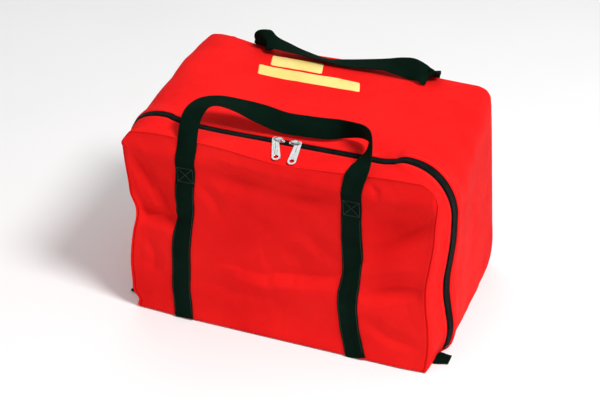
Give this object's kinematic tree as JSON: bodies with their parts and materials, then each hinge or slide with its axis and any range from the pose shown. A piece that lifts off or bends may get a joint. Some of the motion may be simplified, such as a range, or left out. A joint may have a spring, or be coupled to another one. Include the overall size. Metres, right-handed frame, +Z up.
{
  "type": "zipped fabric gear bag",
  "caption": "Soft box-shaped gear bag with a zipped drop-front, two sliders with pull tabs, and front and rear webbing carrying loops.",
  "frame": {"origin": "middle of the base, on the surface that the bag stands on", "axes": "+Z up, -Y towards the zipped front panel, +X to the right seen from the front"},
  "size_m": [0.64, 0.4177, 0.4458],
  "materials": {
    "red_fabric": "coated nylon pack cloth, fine plain weave, slight sheen",
    "black_webbing": "ribbed woven nylon webbing, greenish black",
    "black_tape": "fine twill tape",
    "black_coil": "nylon coil",
    "black_thread": "bonded thread",
    "slider_metal": "bright nickel plate on zinc",
    "stop_metal": "crimped steel",
    "base_board": "matt polyethylene board",
    "print_ink": "thick screen print"
  },
  "bodies": {
    "root": {"body_wrap": "red_fabric", "back_panel": "red_fabric", "base_panel": "red_fabric", "base_board": "base_board", "base_binding": "black_tape", "back_binding": "black_tape", "front_hinge_seam": "red_fabric", "zipper_tape_rear": "black_tape", "zipper_coil_rear": "black_coil", "zipper_end_stop_left": "stop_metal", "zipper_end_stop_right": "stop_metal", "zipper_end_tab_left": "black_webbing", "zipper_end_tab_right": "black_webbing", "base_strap_left": "black_webbing", "base_strap_right": "black_webbing", "back_strap_left": "black_webbing", "back_strap_right": "black_webbing", "back_strap_stitching": "black_thread", "top_print": "print_ink"},
    "flap": {"front_panel": "red_fabric", "front_gusset": "red_fabric", "front_binding": "black_tape", "zipper_tape_front": "black_tape", "zipper_coil_front": "black_coil", "front_strap_left": "black_webbing", "front_strap_right": "black_webbing", "front_strap_stitching": "black_thread"},
    "front_handle": {"front_handle": "black_webbing"},
    "rear_handle": {"rear_handle": "black_webbing"},
    "slider_left": {"slider_body_left": "slider_metal", "slider_crown_left": "slider_metal"},
    "slider_right": {"slider_body_right": "slider_metal", "slider_crown_right": "slider_metal"},
    "pull_tab_left": {"pull_tab_left": "slider_metal"},
    "pull_tab_right": {"pull_tab_right": "slider_metal"}
  },
  "joints": [
    {"name": "flap_hinge", "type": "hinge", "parent": "root", "child": "flap", "pos_m": [0, -0.2018, 0.0065], "axis": [1, 0, 0], "range_deg": [0, 90]},
    {"name": "front_handle_swing", "type": "hinge", "parent": "flap", "child": "front_handle", "pos_m": [0, -0.2043, 0.338], "axis": [-1, 0, 0], "range_deg": [-140, 0]},
    {"name": "rear_handle_swing", "type": "hinge", "parent": "root", "child": "rear_handle", "pos_m": [0, 0.2043, 0.338], "axis": [-1, 0, 0], "range_deg": [0, 140]},
    {"name": "slider_left_slide", "type": "slide", "parent": "root", "child": "slider_left", "axis": [-1, 0, 0], "range_m": [0, 0.165]},
    {"name": "slider_right_slide", "type": "slide", "parent": "root", "child": "slider_right", "axis": [1, 0, 0], "range_m": [0, 0.165]},
    {"name": "pull_tab_left_swing", "type": "hinge", "parent": "slider_left", "child": "pull_tab_left", "pos_m": [-0.012, -0.15144, 0.38958], "axis": [0, 0.2876, -0.9578], "range_deg": [-3, 110]},
    {"name": "pull_tab_right_swing", "type": "hinge", "parent": "slider_right", "child": "pull_tab_right", "pos_m": [0.032, -0.15144, 0.38958], "axis": [0, -0.2876, 0.9578], "range_deg": [-6, 84]}
  ]
}
